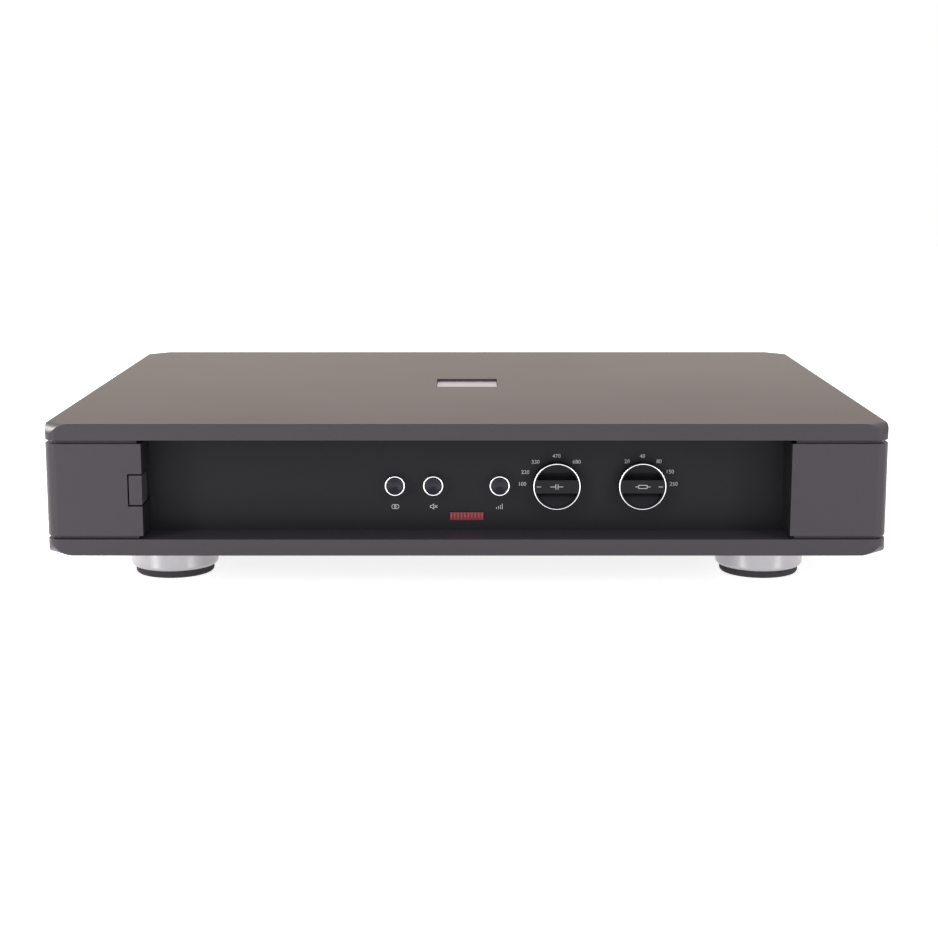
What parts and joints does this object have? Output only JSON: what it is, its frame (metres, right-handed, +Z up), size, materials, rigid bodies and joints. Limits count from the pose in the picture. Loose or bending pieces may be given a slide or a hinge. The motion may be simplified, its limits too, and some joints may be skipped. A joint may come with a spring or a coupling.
{
  "type": "phono preamplifier",
  "caption": "Full-width black phono preamplifier with a recessed control panel, push buttons, two rotary selectors, rear sockets and turned aluminium feet.",
  "frame": {"origin": "on the surface it stands on, under the middle of the case", "axes": "+X to the right seen from the front, +Y to the rear, +Z up"},
  "size_m": [0.432, 0.325, 0.0885],
  "materials": {
    "case_black": "satin black anodised aluminium",
    "panel_black": "satin black anodised aluminium, printed scales",
    "rear_black": "fine textured black paint on steel",
    "inset_silver": "brushed natural aluminium",
    "foot_silver": "turned and polished aluminium",
    "pad_rubber": "matt black rubber",
    "bright_ring": "diamond-cut bright edge",
    "cap_black": "turned black anodised aluminium",
    "knob_black": "satin black anodised aluminium",
    "pilot_red": "translucent red acrylic",
    "zinc_steel": "zinc-plated steel",
    "black_steel": "blackened steel",
    "socket_plastic": "moulded black thermoplastic",
    "socket_metal": "nickel-plated die casting",
    "gold_plate": "gold-plated brass",
    "circuit_board": "glass-epoxy board with solder mask",
    "copper_winding": "enamelled winding under polyester tape",
    "can_black": "shrink sleeve",
    "film_block": "moulded capacitor case",
    "sink_black": "black anodised extrusion",
    "lead_grey": "PVC insulation",
    "fuse_glass": "glass tube with plated ends"
  },
  "bodies": {
    "case": {"top_cover": "case_black", "lid_inset_plate": "inset_silver", "base_plate": "case_black", "left_cheek": "case_black", "right_cheek": "case_black", "front_panel": "panel_black", "rear_panel": "rear_black", "control_bracket": "zinc_steel", "case_screws": "black_steel", "foot_screws": "zinc_steel", "power_switch": "socket_plastic", "button_bezels": "bright_ring", "button_switches": "socket_plastic", "left_rotary_switch": "socket_plastic", "right_rotary_switch": "socket_plastic", "control_board": "circuit_board", "pilot_lens": "pilot_red", "left_xlr_input": "socket_metal", "right_xlr_input": "socket_metal", "left_xlr_output": "socket_metal", "right_xlr_output": "socket_metal", "rca_inputs": "gold_plate", "rca_outputs": "gold_plate", "ground_post": "gold_plate", "mains_inlet": "socket_plastic", "main_board": "circuit_board", "supply_board": "circuit_board", "board_spacers": "zinc_steel", "m3_screws": "black_steel", "transformer_winding": "copper_winding", "transformer_mount": "black_steel", "reservoir_capacitors": "can_black", "film_capacitors": "film_block", "regulator_heatsinks": "sink_black", "board_components": "can_black", "internal_leads": "lead_grey", "front_left_foot": "foot_silver", "front_left_pad": "pad_rubber", "front_right_foot": "foot_silver", "front_right_pad": "pad_rubber", "rear_left_foot": "foot_silver", "rear_left_pad": "pad_rubber", "rear_right_foot": "foot_silver", "rear_right_pad": "pad_rubber"},
    "power_button": {"power_button": "case_black"},
    "mono_button": {"mono_button": "cap_black"},
    "mute_button": {"mute_button": "cap_black"},
    "gain_button": {"gain_button": "cap_black"},
    "left_knob": {"left_knob": "knob_black", "left_knob_ring": "bright_ring", "left_knob_shaft": "zinc_steel"},
    "right_knob": {"right_knob": "knob_black", "right_knob_ring": "bright_ring", "right_knob_shaft": "zinc_steel"},
    "left_xlr_latch": {"left_xlr_latch": "socket_plastic"},
    "right_xlr_latch": {"right_xlr_latch": "socket_plastic"},
    "ground_washer": {"ground_washer": "gold_plate"},
    "ground_nut": {"ground_nut": "gold_plate"},
    "fuse_drawer": {"fuse_drawer": "socket_plastic", "mains_fuse": "fuse_glass"}
  },
  "joints": [
    {"name": "power_button_press", "type": "slide", "parent": "case", "child": "power_button", "axis": [0, 1, 0], "range_m": [0, 0.0025], "stiffness_N_per_m": 200, "springref_m": -0.003},
    {"name": "mono_button_press", "type": "slide", "parent": "case", "child": "mono_button", "axis": [0, 1, 0], "range_m": [0, 0.0015], "stiffness_N_per_m": 200, "springref_m": -0.003},
    {"name": "mute_button_press", "type": "slide", "parent": "case", "child": "mute_button", "axis": [0, 1, 0], "range_m": [0, 0.0015], "stiffness_N_per_m": 200, "springref_m": -0.003},
    {"name": "gain_button_press", "type": "slide", "parent": "case", "child": "gain_button", "axis": [0, 1, 0], "range_m": [0, 0.0015], "stiffness_N_per_m": 200, "springref_m": -0.003},
    {"name": "left_knob_turn", "type": "hinge", "parent": "case", "child": "left_knob", "pos_m": [0.047, -0.1385, 0.0528], "axis": [0, 1, 0], "range_deg": [0, 120]},
    {"name": "right_knob_turn", "type": "hinge", "parent": "case", "child": "right_knob", "pos_m": [0.0917, -0.1385, 0.0528], "axis": [0, 1, 0], "range_deg": [-120, 0]},
    {"name": "left_xlr_latch_press", "type": "slide", "parent": "case", "child": "left_xlr_latch", "axis": [0, -1, 0], "range_m": [0, 0.0015], "stiffness_N_per_m": 200, "springref_m": -0.003},
    {"name": "right_xlr_latch_press", "type": "slide", "parent": "case", "child": "right_xlr_latch", "axis": [0, -1, 0], "range_m": [0, 0.0015], "stiffness_N_per_m": 200, "springref_m": -0.003},
    {"name": "ground_washer_slide", "type": "slide", "parent": "case", "child": "ground_washer", "axis": [0, 1, 0], "range_m": [0, 0.0028]},
    {"name": "ground_nut_turn", "type": "hinge", "parent": "ground_washer", "child": "ground_nut", "pos_m": [0.076, 0.15, 0.05425], "axis": [0, 1, 0], "range_deg": [0, 1440]},
    {"name": "fuse_drawer_slide", "type": "slide", "parent": "case", "child": "fuse_drawer", "axis": [0, 1, 0], "range_m": [0, 0.024]}
  ],
  "couplings": [
    {"joint": "ground_nut_turn", "follows": "ground_washer_slide", "rad_per_m": 8976}
  ]
}
